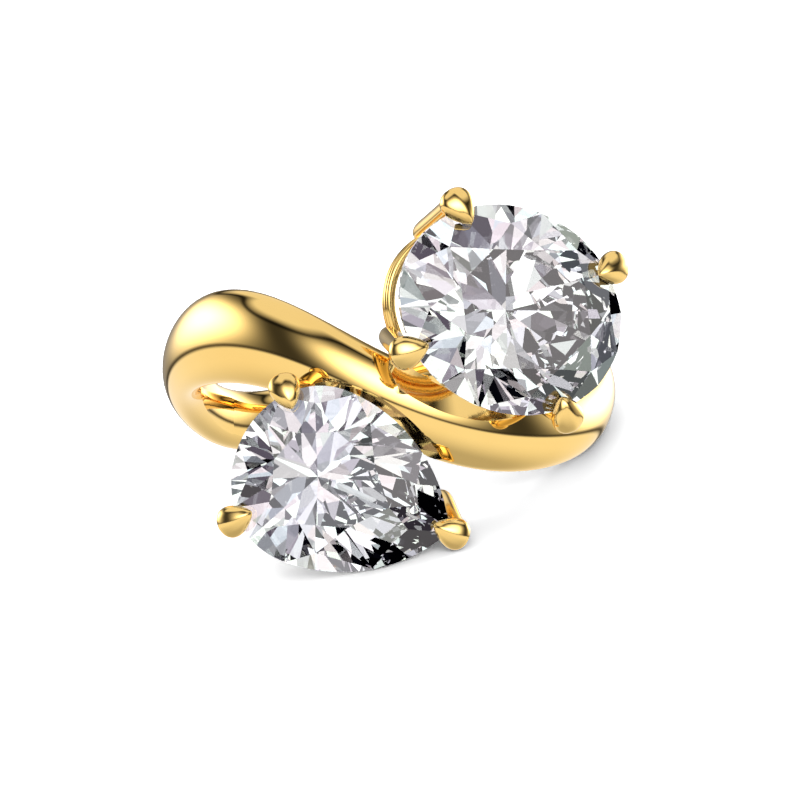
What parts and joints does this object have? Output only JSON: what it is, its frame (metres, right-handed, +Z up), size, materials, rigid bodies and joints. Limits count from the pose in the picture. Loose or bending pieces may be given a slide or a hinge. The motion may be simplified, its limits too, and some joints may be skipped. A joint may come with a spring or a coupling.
{
  "type": "toi et moi ring",
  "caption": "Toi et moi ring in polished yellow gold: an S-shaped bypass band that carries an oval brilliant in a claw basket beside a pear brilliant in a claw basket.",
  "frame": {"origin": "middle of the bounding box's underside, on the table that the ring lies on", "axes": "Z up from the table; the stones face mainly -Y; the oval stone lies towards +X and the pear stone towards -X; the finger axis leans about 21 degrees from Z"},
  "size_m": [0.0218, 0.024, 0.0151],
  "materials": {
    "yellow_gold": "mirror polish, 18 carat yellow gold",
    "diamond_oval": "brilliant cut, clear",
    "diamond_pear": "brilliant cut, clear"
  },
  "bodies": {
    "root": {"shank_and_settings": "yellow_gold", "oval_stone": "diamond_oval", "pear_stone": "diamond_pear"}
  },
  "joints": []
}
